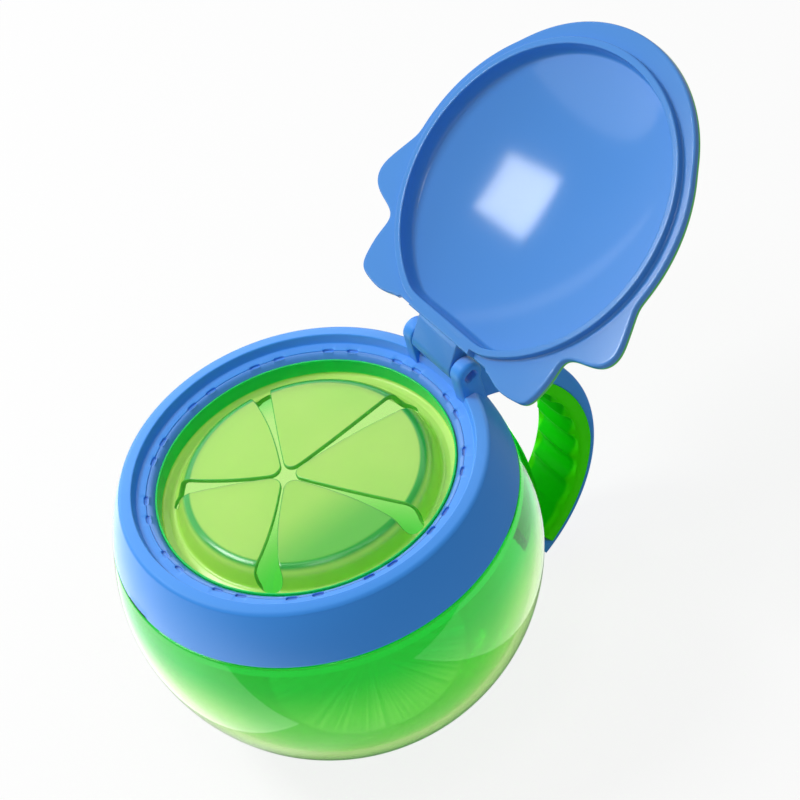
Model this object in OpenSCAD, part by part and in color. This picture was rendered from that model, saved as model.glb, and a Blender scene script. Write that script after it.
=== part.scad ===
// Toddler snack container: a round clear bowl, a press-on collar with a soft
// five-flap opening, a hinged domed lid and an open C-shaped handle.
// Millimetres, +Z up, origin at the middle of the flat base. The hinge and the
// handle are at the back (+Y). The lid is drawn open, leaning on its stop.

/* [Bowl] */
// Widest diameter of the round bowl
ball_d = 95; // [88:1:104]
// Diameter of the flat base
base_d = 48; // [44:1:54]
// Thickness of the bowl wall
bowl_t = 1.8; // [1.4:0.1:2.4]
// Outer diameter of the neck that the collar grips
neck_d = 83.6; // [82:0.2:84]
// Height of the neck's top edge
neck_z = 61.8; // [60.5:0.1:62]
// Height at which the collar's skirt ends above the bowl's shoulder
parting_z = 55.2; // [54:0.1:57]

/* [Collar] */
// Radius of the collar's bulging outer face
collar_r = 46.3; // [45.5:0.1:47]
// Height of that face's centre
collar_c = 46; // [44:0.5:48]
// Radius of the rounding on top of the rim
rim_round = 1.7; // [1.2:0.1:2.2]
// Height of the rim's crest
rim_z = 68.3; // [67.8:0.1:69]
// Height of the ledge inside the rim
ledge_z = 66; // [65.4:0.1:66.4]
// Diameter of the recess that takes the lid's lip
recess_d = 74.8; // [74.4:0.1:75.4]
// Width of the pry notch in the skirt
notch_w = 8; // [5:1:12]

/* [Soft flaps] */
// Outer diameter of the ring that holds the flaps
retainer_d = 70.2; // [69.6:0.1:70.2]
// Diameter of the hand opening in that ring
mouth_d = 66.8; // [66:0.1:67.4]
// Thickness of the soft wall and of the flaps
soft_t = 1.2; // [0.9:0.1:1.4]
// Height of the flaps' top face
flap_z = 66.2; // [65.4:0.1:66.6]
// Diameter of the raised middle at its foot
plateau_d = 59.4; // [57:0.2:60]
// Number of flaps
flap_n = 5; // [4:1:6]
// Direction of the first slit
slit_a = 92; // [80:1:100]
// Place of the point where the slits meet, left to right
star_x = -1.6; // [-2:0.1:2]
// Place of the point where the slits meet, front to back
star_y = -4; // [-4:0.5:4]

/* [Hinge] */
// Distance of the hinge axis behind the bowl's axis
hinge_y = 39.3; // [38.8:0.1:39.6]
// Height of the hinge axis
hinge_z = 72.8; // [72.2:0.1:73.6]
// Radius of the ears and of the lid's barrel
ear_r = 3.2; // [2.8:0.1:3.3]
// Width of one ear
ear_w = 3.6; // [3:0.1:4]
// Distance between the ears
ear_gap = 14.5; // [13:0.5:16]
// Diameter of the hinge pin
pin_d = 2.4; // [2:0.1:2.6]
// Angle by which the lid stands open from closed
lid_open = 149; // [120:1:152]

/* [Lid] */
// Diameter of the lid's round edge
lid_d = 78.4; // [77.6:0.2:79]
// Radius of the round nose at the lid's front
nose_r = 36; // [35:0.5:38]
// How far the nose's centre lies in front of the lid's centre
nose_y = 5.4; // [5:0.2:6.4]
// Thickness of the blue flange
flange_t = 1.3; // [1:0.1:1.6]
// Thickness of the green cover
cover_t = 1; // [0.8:0.1:1.4]
// Depth of the lid's hollow above its lip's edge
hollow_h = 11.2; // [9:0.2:13]
// Outer diameter of the lip
lip_d = 73.1; // [72.5:0.1:73.5]
// Height of the lip below the flange
lip_h = 1.7; // [1.2:0.1:2]

/* [Handle] */
// Width of the handle
handle_w = 16; // [13:0.5:18]
// Radius of the handle's outer curve
handle_r = 37.3; // [35:0.1:38]
// Centre of that curve behind the bowl's axis
handle_y = 30.3; // [29:0.1:32]
// Height of that centre
handle_z = 36.4; // [36:0.1:39]
// Angle below level at which the handle's free end lies
handle_end = 63; // [50:1:64]
// Number of finger ribs on the grip
rib_n = 7; // [4:1:8]

/* [Hidden] */
$fn = 128;

green = "limegreen";
blue = "cornflowerblue";
lime = "yellowgreen";

// Small distances
seam = 0.2;
fit = 0.02;
run = 0.07;
clear = 0.3;
sunk = 0.03;
far = 200;

// Bowl
ball_r = ball_d / 2;
ball_z = sqrt(pow(ball_r, 2) - pow(base_d / 2, 2));
neck_r = neck_d / 2;
floor_t = 2.2;
shoulder_z = parting_z - seam;
shoulder_t = 1.6;
bead_r = 0.8;
bead_z = 58.4;

// Collar
rim_c = rim_z - rim_round;
rim_r = sqrt(pow(collar_r - rim_round, 2) - pow(rim_c - collar_c, 2));
rim_lean = asin((rim_c - collar_c) / (collar_r - rim_round));
tangent_z = collar_c + collar_r * sin(rim_lean);
skirt_r = neck_r + clear;
neck_room = 0.4;
socket_r = retainer_d / 2 + 0.1;
socket_t = 1.8;
pocket_z = ledge_z - 1.8;
pocket_r = neck_r - 0.6;
recess_r = recess_d / 2;
recess_flare = 0.55;
notch_a = -94.5;
notch_h = 0.9;

// Windows of the snap ring: pairs of short slots round the joint line
slot_pairs = 13;
slot_step = 360 / slot_pairs;
slot_part = slot_step / 3;
slot_l = 2.6;
slot_w = 1;
slot_h = 1.2;
slot_first = 90 + slot_step / 2;

// Soft ring and flaps
retainer_r = retainer_d / 2;
mouth_r = mouth_d / 2;
retainer_z = 61;
lip_drop = 1.4;
soft_z = 60;
soft_r = mouth_r - 0.05;
wall_top = ledge_z - 1.8;
plateau_r = plateau_d / 2;
shoulder_r = plateau_r - 2.4;
bevel = 1;
root_r = 25.4;
root_turn = 6.2;
slit_half = 0.35;
slit_narrow = 0.45;
tip_in = 4.6;
tip_parts = 12;
root_gap = soft_t / 2 + clear;
root_flat = 0.25;
tear_r = 2.3;
tear_at = 26.4;
star = [star_x, star_y];

// Hinge
pin_r = pin_d / 2;
pin_short = 1.1;
ear_out = ear_gap / 2 + ear_w;
ear_back = 42;
ear_foot = 62;
barrel_w = ear_gap - 0.5;
key_r = 1.3;
key_half = 0.9;
key_tilt = 20;
key_deep = 1;

// Lid, in its own closed frame with the hinge axis as origin
flange_h = rim_z + 0.5 - hinge_z;
lid_r = lid_d / 2;
lid_y = -hinge_y;
lip_r = lip_d / 2;
lip_t = 1.75;
lip_bottom = flange_h - lip_h;
wall_h = 4;
wall_flare = 0.6;
chord_d = 5;
hollow_r = lip_r - lip_t - wall_flare;
hollow_top = lip_bottom + hollow_h;
hollow_rise = hollow_top - (lip_bottom + wall_h);
cap_r = (pow(hollow_r, 2) + pow(hollow_rise, 2)) / (2 * hollow_rise);
cap_c = hollow_top - cap_r;
dome_t = 1.3;
dome_r = hollow_r + 1.5;
cover_r = dome_r + 1.7;
cover_gap = 0.1;
notch_d = 3.8;
notch_out = ear_out + 0.5;
edge_d = 3.2;
point_a = [28.3, 5.1];
point_ar = 2.4;
root_a = [22.3, 11.2];
root_ar = 9.3;
point_b = [36.9, 24];
point_br = 5.5;
root_b = [30.3, 27.3];
root_br = 10.5;

// Handle, in the plane across the hinge
handle_c = [handle_y, handle_z];
band_c = [34.1, 33];
band_r = 31.5;
skin_min = 1.5;
strap_r = 29.3;
grip_top = 38;
grip_c = [33.5, 33.5];
grip_r = 29;
rib_r = 2.6;
rib_in = 1.2;
rib_step = 12;
rib_top = 28;
end_r = 3;
end_in = 3;
strap_top = 82;

function polar(r, a) = [r * cos(a), r * sin(a)];
function unit(v) = v / norm(v);
function turn(v) = [-v[1], v[0]];
function slit_end(k) = polar(shoulder_r, slit_a + k * 360 / flap_n);
function slit_way(k) = unit(slit_end(k) - star);
function flap_way(k) = unit(slit_way(k) + slit_way(k + 1));
function half_angle(k) = acos(slit_way(k) * slit_way(k + 1)) / 2;
function root_left(k) = polar(root_r, slit_a + k * 360 / flap_n + root_turn);
function root_right(k) = polar(root_r, slit_a + (k + 1) * 360 / flap_n - root_turn);
function root_out(k) = -turn(unit(root_right(k) - root_left(k)));
function narrow(k, side) = star + slit_narrow * (slit_end(k) - star) + side * slit_half * turn(slit_way(k));
function tip_centre(k) = star + tip_in * flap_way(k);
function tip_r(k) = tip_in * sin(half_angle(k)) - slit_half;

// A ring between two radii and two heights
module tube(r_out, r_in, z0, z1) {
  translate([0, 0, z0]) difference() {
    cylinder(r = r_out, h = z1 - z0);
    translate([0, 0, -1]) cylinder(r = r_in, h = z1 - z0 + 2);
  }
}

// The outline round two circles, with straight sides that all but touch both
module two_rounds(a, ra, b, rb) {
  way = unit(b - a);
  lean = acos((ra - rb) / norm(b - a));
  left = cos(lean) * way + sin(lean) * turn(way);
  right = cos(lean) * way - sin(lean) * turn(way);
  translate(a) circle(ra);
  translate(b) circle(rb);
  polygon([a + (ra - sunk) * left, b + (rb - sunk) * left,
    b + (rb - sunk) * right, a + (ra - sunk) * right]);
}

// The part of the plane between two angles, seen from a centre
module sector(centre, from, to) {
  middle = (from + to) / 2;
  polygon([centre, centre + polar(far, from), centre + polar(far, middle), centre + polar(far, to)]);
}

module bowl() {
  color(green) difference() {
    union() {
      intersection() {
        translate([0, 0, ball_z]) sphere(ball_r);
        cylinder(r = far, h = shoulder_z);
      }
      translate([0, 0, shoulder_z - 2]) cylinder(r = neck_r, h = neck_z - shoulder_z + 2);
      rotate_extrude() translate([neck_r - bead_r + seam, bead_z]) circle(bead_r);
    }
    intersection() {
      translate([0, 0, ball_z]) sphere(ball_r - bowl_t);
      translate([0, 0, floor_t]) cylinder(r = far, h = shoulder_z - shoulder_t - floor_t);
    }
    translate([0, 0, ball_z]) cylinder(r = neck_r - bowl_t, h = far);
  }
}

// The outer form of the collar, without its inside
module collar_form(grow = 0) {
  intersection() {
    translate([0, 0, collar_c]) sphere(collar_r + grow);
    translate([0, 0, parting_z]) cylinder(r = far, h = tangent_z - parting_z);
  }
  rotate_extrude() translate([rim_r, rim_c]) circle(rim_round + grow);
}

// All the short windows that straddle the joint line of the snap ring
module windows() {
  for (i = [0 : slot_pairs - 1], side = [-0.5, 0.5])
    rotate(slot_first + i * slot_step + side * slot_part)
      translate([socket_r - slot_w / 2, -slot_l / 2, ledge_z - slot_h]) cube([slot_w, slot_l, slot_h + 1]);
}

module ear() {
  rotate([90, 0, 90]) linear_extrude(ear_w) union() {
    translate([hinge_y, hinge_z]) circle(ear_r);
    polygon([[hinge_y - ear_r, ear_foot], [ear_back, ear_foot], [ear_back, hinge_z + 0.9],
      [hinge_y + ear_r * cos(40), hinge_z + ear_r * sin(40)], [hinge_y - ear_r, hinge_z]]);
  }
}

// The key-shaped recess over the pin's end, in the ear's outer face
module key_recess() {
  translate([ear_out - key_deep, hinge_y, hinge_z]) rotate([90 + key_tilt, 0, 0]) rotate([0, 90, 0])
    linear_extrude(key_deep + 1) union() {
      for (side = [-1, 1]) translate([0, side * key_half]) circle(key_r * 0.6);
      square([key_r * 1.2, key_half * 2], center = true);
    }
}

module collar() {
  color(blue) difference() {
    union() {
      collar_form();
      translate([ear_gap / 2, 0, 0]) ear();
      translate([-ear_out, 0, 0]) ear();
    }
    translate([0, 0, parting_z - 1]) cylinder(r = skirt_r, h = neck_z + neck_room - parting_z + 1);
    tube(pocket_r, socket_r + socket_t, neck_z, pocket_z);
    cylinder(r = socket_r, h = far);
    translate([0, 0, ledge_z])
      cylinder(r1 = recess_r, r2 = recess_r + recess_flare, h = rim_z - ledge_z);
    windows();
    rotate(notch_a) translate([skirt_r - 1, -notch_w / 2, parting_z - 1])
      cube([far, notch_w, notch_h + 1]);
    translate([-ear_out - 1, hinge_y, hinge_z]) rotate([0, 90, 0])
      cylinder(r = pin_r + fit, h = 2 * ear_out + 2);
    for (side = [0, 1]) mirror([side, 0, 0]) key_recess();
  }
}

module flap_retainer() {
  color(blue) difference() {
    translate([0, 0, retainer_z]) cylinder(r = retainer_r, h = ledge_z - seam / 2 - retainer_z);
    cylinder(r = mouth_r, h = far);
    translate([0, 0, ledge_z - lip_drop]) cylinder(r1 = mouth_r, r2 = retainer_r - seam, h = lip_drop);
    windows();
  }
}

// The raised middle as a solid, drawn in by a distance
module plateau(inset = 0) {
  top = flap_z - inset;
  rotate_extrude() polygon([[0, soft_z - 1], [plateau_r - inset, soft_z - 1],
    [plateau_r - inset, soft_z + soft_t], [shoulder_r - inset, top - bevel],
    [shoulder_r - bevel - inset / 2, top], [0, top]]);
}

// The plan outline of one flap, with its round tip, running a little past its root
module flap_outline(k) {
  past = soft_t * root_out(k);
  start = atan2(flap_way(k)[1], flap_way(k)[0]) - half_angle(k) - 90;
  round_tip = [for (i = [0 : tip_parts])
    tip_centre(k) + polar(tip_r(k), start - i * (180 - 2 * half_angle(k)) / tip_parts)];
  polygon(concat([root_left(k) + past, root_left(k), narrow(k, 1)], round_tip,
    [narrow(k + 1, -1), root_right(k), root_right(k) + past]));
}

// The section of a flap across its root: flat, with a chamfered outer end
module flap_section() {
  half = soft_t / 2;
  polygon([[-far, -half], [root_flat, -half], [half, -root_flat],
    [half, root_flat], [root_flat, half], [-far, half]]);
}

module flap(k) {
  root = (root_left(k) + root_right(k)) / 2;
  color(lime) intersection() {
    translate([0, 0, flap_z - 2 * soft_t]) linear_extrude(3 * soft_t) flap_outline(k);
    translate([root[0], root[1], flap_z - soft_t / 2])
      rotate([90, 0, atan2(root_out(k)[1], root_out(k)[0])])
        linear_extrude(far, center = true) flap_section();
  }
}

module flap_1() { flap(0); }
module flap_2() { flap(1); }
module flap_3() { flap(2); }
module flap_4() { flap(3); }
module flap_5() { flap(4); }

// The room that the flaps and the wide ends of the slits need
module flap_room() {
  polygon([for (k = [0 : flap_n - 1], end = [0, 1])
    (end == 0 ? root_left(k) : root_right(k)) + root_gap * root_out(k)]);
  for (k = [0 : flap_n - 1]) translate(polar(tear_at, slit_a + k * 360 / flap_n)) circle(tear_r);
}

module flap_ring() {
  color(lime) union() {
    tube(soft_r, soft_r - soft_t, soft_z, wall_top);
    tube(soft_r - soft_t / 2, plateau_r - soft_t, soft_z, soft_z + soft_t);
    difference() {
      intersection() {
        plateau();
        translate([0, 0, soft_z]) cylinder(r = far, h = far);
      }
      plateau(soft_t);
      translate([0, 0, soft_z + soft_t + clear]) linear_extrude(far) flap_room();
    }
  }
}

module hinge_pin() {
  length = 2 * (ear_out - pin_short);
  color(blue) translate([-length / 2, hinge_y, hinge_z]) rotate([0, 90, 0]) cylinder(r = pin_r, h = length);
}

// Places what is drawn in the lid's closed frame at the open lid
module on_lid() {
  translate([0, hinge_y, hinge_z]) rotate([-lid_open, 0, 0]) children();
}

// The lid's plan outline: round, with a nose in front and two points each side
module lid_outline() {
  translate([0, lid_y]) circle(lid_r);
  translate([0, lid_y - nose_y]) circle(nose_r);
  for (side = [0, 1]) mirror([side, 0]) {
    two_rounds([root_a[0], -root_a[1]], root_ar, [point_a[0], -point_a[1]], point_ar);
    two_rounds([root_b[0], -root_b[1]], root_br, [point_b[0], -point_b[1]], point_br);
  }
  translate([-root_a[0], -root_a[1]]) square([2 * root_a[0], root_a[1] - edge_d]);
}

// The plan of a round that is cut straight along the hinge side
module cut_round(r, d) {
  intersection() {
    translate([0, lid_y]) circle(r);
    translate([-far, -d - far]) square([2 * far, far]);
  }
}

// A shallow dome above a height, with a straight side along the hinge
module lid_dome(r, d, sphere_r, from) {
  intersection() {
    translate([0, lid_y, cap_c]) sphere(sphere_r, $fn = 256);
    translate([0, 0, from]) linear_extrude(far) cut_round(r, d);
  }
}

// Room for the ears where the lid swings past them
module ear_room(half) {
  translate([-half, -notch_d, -far / 2]) cube([2 * half, far, far]);
}

module lid_shell() {
  color(blue) on_lid() difference() {
    union() {
      difference() {
        union() {
          translate([0, 0, flange_h]) linear_extrude(flange_t) lid_outline();
          translate([0, 0, lip_bottom]) linear_extrude(lip_h + flange_t) cut_round(lip_r, chord_d);
          lid_dome(dome_r, chord_d - 0.4, cap_r + dome_t, flange_h);
        }
        ear_room(notch_out);
      }
      translate([-barrel_w / 2, 0, 0]) rotate([0, 90, 0]) cylinder(r = ear_r, h = barrel_w);
      translate([-barrel_w / 2, -chord_d, flange_h]) cube([barrel_w, chord_d, flange_t]);
      translate([-barrel_w / 2, cover_gap - notch_d, flange_h])
        cube([barrel_w, notch_d - cover_gap, -flange_h - ear_r / 2]);
    }
    translate([0, lid_y, 0]) difference() {
      translate([0, 0, lip_bottom - 1]) cylinder(r = hollow_r + wall_flare, h = 1 + wall_h);
      translate([-far, hinge_y - chord_d - lip_t, -far / 2]) cube(far * 2);
    }
    lid_dome(hollow_r + wall_flare, chord_d + lip_t, cap_r, lip_bottom + wall_h - 0.01);
    translate([-barrel_w, 0, 0]) rotate([0, 90, 0]) cylinder(r = pin_r + run, h = 2 * barrel_w);
  }
}

module lid_cover() {
  base = flange_h + flange_t;
  color(green) on_lid() difference() {
    union() {
      translate([0, 0, base]) linear_extrude(cover_t) lid_outline();
      lid_dome(cover_r, edge_d, cap_r + dome_t + cover_gap + cover_t, base);
    }
    lid_dome(dome_r + cover_gap, chord_d - 0.5, cap_r + dome_t + cover_gap, base - 1);
    ear_room(notch_out);
  }
}

// The green filled side of the handle ends where this outline begins
module band_edge() {
  intersection() {
    translate(band_c) circle(band_r);
    translate(handle_c) circle(handle_r - skin_min);
  }
}

// The round end in which the strap and the grip finish
module handle_tip(grow = 0) {
  translate(handle_c + polar(handle_r - end_in, -handle_end)) circle(end_r + grow);
}

module handle_spine() {
  color(blue) difference() {
    rotate([90, 0, 90]) linear_extrude(handle_w, center = true) union() {
      intersection() {
        difference() {
          translate(handle_c) circle(handle_r);
          band_edge();
        }
        sector(handle_c, -handle_end, grip_top);
      }
      intersection() {
        difference() {
          translate(handle_c) circle(handle_r);
          translate(band_c) circle(strap_r);
        }
        sector(handle_c, grip_top - 1, strap_top);
      }
      handle_tip();
    }
    collar_form(fit);
    translate([-far / 2, ear_back + fit - far, 0]) cube(far);
    translate([-ear_gap / 2, hinge_y, hinge_z]) rotate([0, 90, 0]) cylinder(r = ear_r + clear, h = ear_gap);
  }
}

module handle_grip() {
  color(green) rotate([90, 0, 90]) linear_extrude(handle_w, center = true) difference() {
    intersection() {
      band_edge();
      sector(handle_c, -handle_end, grip_top - 1);
      union() {
        difference() {
          translate(handle_c) circle(handle_r);
          translate(grip_c) circle(grip_r);
        }
        for (i = [0 : rib_n - 1])
          translate(grip_c + polar(grip_r + rib_in, rib_top - i * rib_step)) circle(rib_r);
      }
    }
    handle_tip(fit);
  }
}

bowl();
collar();
flap_retainer();
flap_ring();
flap_1();
flap_2();
flap_3();
flap_4();
flap_5();
hinge_pin();
lid_shell();
lid_cover();
handle_spine();
handle_grip();
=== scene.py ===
"""Looks of a toddler snack container: a clear bowl, a press-on collar with a soft
five-flap opening, a hinged domed lid and a ribbed handle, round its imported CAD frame.
Sizes in this file are millimetres and degrees; meshes are written in metres."""

import math

import bmesh
import bpy
import numpy as np
from mathutils import Matrix


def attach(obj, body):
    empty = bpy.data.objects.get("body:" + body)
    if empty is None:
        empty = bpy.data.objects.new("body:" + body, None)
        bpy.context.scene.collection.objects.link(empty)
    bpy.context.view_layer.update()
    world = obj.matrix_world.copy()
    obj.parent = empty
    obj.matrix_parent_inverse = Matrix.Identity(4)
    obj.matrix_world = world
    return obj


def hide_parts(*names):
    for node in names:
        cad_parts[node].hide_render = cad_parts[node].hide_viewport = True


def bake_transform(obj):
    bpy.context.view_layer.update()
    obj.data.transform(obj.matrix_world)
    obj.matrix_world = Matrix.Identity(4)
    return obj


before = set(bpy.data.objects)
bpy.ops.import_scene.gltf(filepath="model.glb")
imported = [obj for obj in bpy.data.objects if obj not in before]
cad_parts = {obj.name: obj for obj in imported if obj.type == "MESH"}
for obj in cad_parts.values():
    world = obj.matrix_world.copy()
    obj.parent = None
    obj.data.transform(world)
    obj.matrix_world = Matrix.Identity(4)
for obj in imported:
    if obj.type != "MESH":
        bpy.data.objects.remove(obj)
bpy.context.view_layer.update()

MM = 0.001

# Sizes shared with the part's source. A name ends in _R for a radius, _Z or _Y for a
# place, _C for a centre, _A for an angle, _T for a thickness and _W for a width.
BALL_R, BALL_Z, BASE_R, BOWL_T, FLOOR_T = 47.5, 41.0, 24.0, 1.8, 2.2
NECK_R, NECK_Z, PARTING_Z, SKIRT_IN = 41.8, 61.8, 55.2, 42.1
COLLAR_R, COLLAR_C = 46.3, 46.0
RIM_R, RIM_C, RIM_ROUND = 39.56, 66.6, 1.7
LEDGE_Z, SOCKET_R = 66.0, 35.2
MOUTH_R, SOFT_T = 33.4, 1.2
FLAP_COUNT, SLIT_A, STAR = 5, 92.0, np.array([-1.6, -4.0])
FLAP_STEP = 360 / FLAP_COUNT
HINGE_Y, HINGE_Z, EAR_R, EAR_IN, EAR_OUT = 39.3, 72.8, 3.2, 7.25, 10.85
LID_OPEN, LID_R, LID_Y = 149.0, 39.2, -39.3
LIP_R, FLANGE_Z, LIP_Z, CAP_R, CAP_C = 36.55, -4.0, -5.7, 84.8, -79.3
SHELL_T, COVER_T = 1.3, 1.0
HANDLE_C, HANDLE_R, HANDLE_W = np.array([30.3, 36.4]), 37.3, 16.0
BAND_C, BAND_R, STRAP_R = np.array([34.1, 33.0]), 31.5, 29.3
GRIP_C, GRIP_R = np.array([33.5, 33.5]), 29.0


# Shapes worked out as whole arrays


def smooth(x, low, high):
    """Rises from 0 at low to 1 at high with level ends: 3t^2 - 2t^3."""
    t = np.clip((np.asarray(x, float) - low) / (high - low), 0, 1)
    return t * t * (3 - 2 * t)


def polar(radius, degrees):
    """The plane point at a radius and an angle from +X."""
    a = np.radians(degrees)
    return np.stack([radius * np.cos(a), radius * np.sin(a)], -1)


def angle_at(height, radius):
    """The angle, in degrees, at which a circle round the origin reaches a height."""
    return math.degrees(math.asin(height / radius))


def arc(centre, radius, start, end, parts):
    """Evenly spaced points along a circle from one angle to another."""
    return np.asarray(centre) + polar(radius, np.linspace(start, end, parts + 1))


def rounded(corners, radii, parts=5):
    """An open line whose corners become arcs. Each arc touches both sides at
    radius / tan(half the corner's angle) from the corner; radius 0 keeps it sharp."""
    c = np.asarray(corners, float)
    out = [c[:1]]
    for before, here, after, r in zip(c[:-2], c[1:-1], c[2:], radii[1:-1]):
        if not r:
            out.append(here[None])
            continue
        a = (before - here) / np.linalg.norm(before - here)
        b = (after - here) / np.linalg.norm(after - here)
        half = math.acos(float(np.clip(a @ b, -1, 1))) / 2
        centre = here + (a + b) / np.linalg.norm(a + b) * r / math.sin(half)
        u = here + a * r / math.tan(half) - centre
        v = here + b * r / math.tan(half) - centre
        turn = math.pi - 2 * half
        t = np.linspace(0, 1, parts + 1)[:, None]
        out.append(centre + (np.sin((1 - t) * turn) * u + np.sin(t * turn) * v) / math.sin(turn))
    out.append(c[-1:])
    return np.concatenate(out)


def resample(line, spacing):
    """The same line with points no further apart than the spacing, by arc length."""
    parts = []
    for a, b in zip(line[:-1], line[1:]):
        n = max(1, int(math.ceil(np.linalg.norm(b - a) / spacing)))
        parts.append(a + (b - a) * np.linspace(0, 1, n, endpoint=False)[:, None])
    return np.concatenate(parts + [line[-1:]])


def quarter(parts):
    """The angles of a quarter turn in radians, for a rounded edge."""
    return np.radians(np.linspace(0, 90, parts + 1))


def all_round(count):
    """Evenly spaced angles round the circle, in degrees."""
    return np.linspace(0, 360, count, endpoint=False)


def apart(angles, middle):
    """How far angles lie from another one, the shorter way round."""
    return np.abs((angles - middle + 180) % 360 - 180)


def soft_min(a, b, bend):
    """The smaller of two values, with the change from one to the other eased:
    -bend * log(exp(-a / bend) + exp(-b / bend))."""
    low = np.minimum(a, b)
    return low - bend * np.log(np.exp(-(a - low) / bend) + np.exp(-(b - low) / bend))


def reach_circle(way, centre, radius):
    """How far rays from the middle go before they leave a circle, or 0."""
    along = way @ centre
    left = along**2 - (centre @ centre - radius**2)
    return np.where(left >= 0, np.maximum(along + np.sqrt(np.maximum(left, 0)), 0), 0)


def reach_line(way, p, q):
    """How far each ray goes before it meets the straight line from p to q, or 0."""
    side = q - p
    cross = way[:, 0] * side[1] - way[:, 1] * side[0]
    cross = np.where(np.abs(cross) < 1e-9, 1e-9, cross)
    t = (p[0] * side[1] - p[1] * side[0]) / cross
    u = (p[0] * way[:, 1] - p[1] * way[:, 0]) / cross
    return np.where((t > 0) & (u >= 0) & (u <= 1), t, 0)


def grid(points, wrap_rows=False):
    """(points, quads) of a sheet of points (rows, columns, 3). Its last column joins the
    first one, and so does its last row where that is asked."""
    rows, cols = points.shape[:2]
    index = np.arange(rows * cols).reshape(rows, cols)
    if wrap_rows:
        index = np.concatenate([index, index[:1]])
    index = np.concatenate([index, index[:, :1]], 1)
    quads = np.stack([index[:-1, :-1], index[:-1, 1:], index[1:, 1:], index[1:, :-1]], -1)
    return points.reshape(-1, 3), quads.reshape(-1, 4)


def outward(part):
    """Turns a closed part's faces over if its signed volume comes out negative."""
    points, quads = part
    p = points[quads]
    volume = np.einsum("ij,ij->", p[:, 0], np.cross(p[:, 1], p[:, 2]))
    volume += np.einsum("ij,ij->", p[:, 0], np.cross(p[:, 2], p[:, 3]))
    return (points, quads[:, ::-1]) if volume < 0 else part


def same_all_round(profile, count):
    """One profile repeated for each of the angles: (points, angles, 2)."""
    return np.repeat(profile[:, None], count, 1)


def profile_rows(steps, count):
    """A profile from (radius, height) steps, where each may change with the angle."""
    return np.stack([np.stack([np.broadcast_to(v, count) for v in step], -1) for step in steps])


def lathe(profile, angles):
    """A closed or axis-to-axis profile (radius, height) carried round Z. The profile
    may change with the angle: then its array is (points, angles, 2)."""
    if profile.ndim == 2:
        profile = same_all_round(profile, len(angles))
    a = np.radians(angles)[None]
    r, z = profile[..., 0], profile[..., 1]
    return np.stack([r * np.cos(a), r * np.sin(a), z], -1)


def new_object(name, data):
    """A new object in the scene, at the origin."""
    thing = bpy.data.objects.new(name, data)
    bpy.context.scene.collection.objects.link(thing)
    return thing


def piece(name, parts, body, material, nodes, sharp=48, marks=None):
    """One mesh from closed parts, welded at seams and poles, smooth but for real edges.
    Marks are named numbers, one for each point, that its material reads."""
    parts = [outward(part) for part in parts]
    starts = np.cumsum([0] + [len(points) for points, _ in parts])
    points = np.concatenate([points for points, _ in parts]) * MM
    quads = np.concatenate([quads + start for (_, quads), start in zip(parts, starts)])
    mesh = bpy.data.meshes.new(name)
    mesh.from_pydata(points, [], quads)
    for mark, values in (marks or {}).items():
        column = mesh.attributes.new(mark, "FLOAT", "POINT").data
        column.foreach_set("value", np.asarray(values, float).ravel())
    work = bmesh.new()
    work.from_mesh(mesh)
    bmesh.ops.remove_doubles(work, verts=work.verts, dist=2e-6)
    work.to_mesh(mesh)
    work.free()
    mesh.validate()
    mesh.shade_smooth()
    mesh.set_sharp_from_angle(angle=math.radians(sharp))
    thing = new_object(name, mesh)
    mesh.materials.append(material)
    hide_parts(*nodes)
    if body:
        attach(thing, body)
    return thing


# Materials


def socket(group, name, kind, into=True, value=None):
    """Adds a named socket to a node group."""
    made = group.interface.new_socket(
        name=name, in_out="INPUT" if into else "OUTPUT", socket_type="NodeSocket" + kind
    )
    if value is not None:
        made.default_value = value
    return made


def link(tree, *pairs):
    """Joins sockets, given as (from, to) pairs."""
    for a, b in pairs:
        tree.links.new(a, b)


def add(tree, kind, **values):
    """A node of a kind, with its attributes and its numbered or named inputs set."""
    node = tree.nodes.new("ShaderNode" + kind)
    for key, value in values.items():
        if hasattr(node, key):
            setattr(node, key, value)
        else:
            node.inputs[key.replace("_", " ")].default_value = value
    return node


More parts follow.
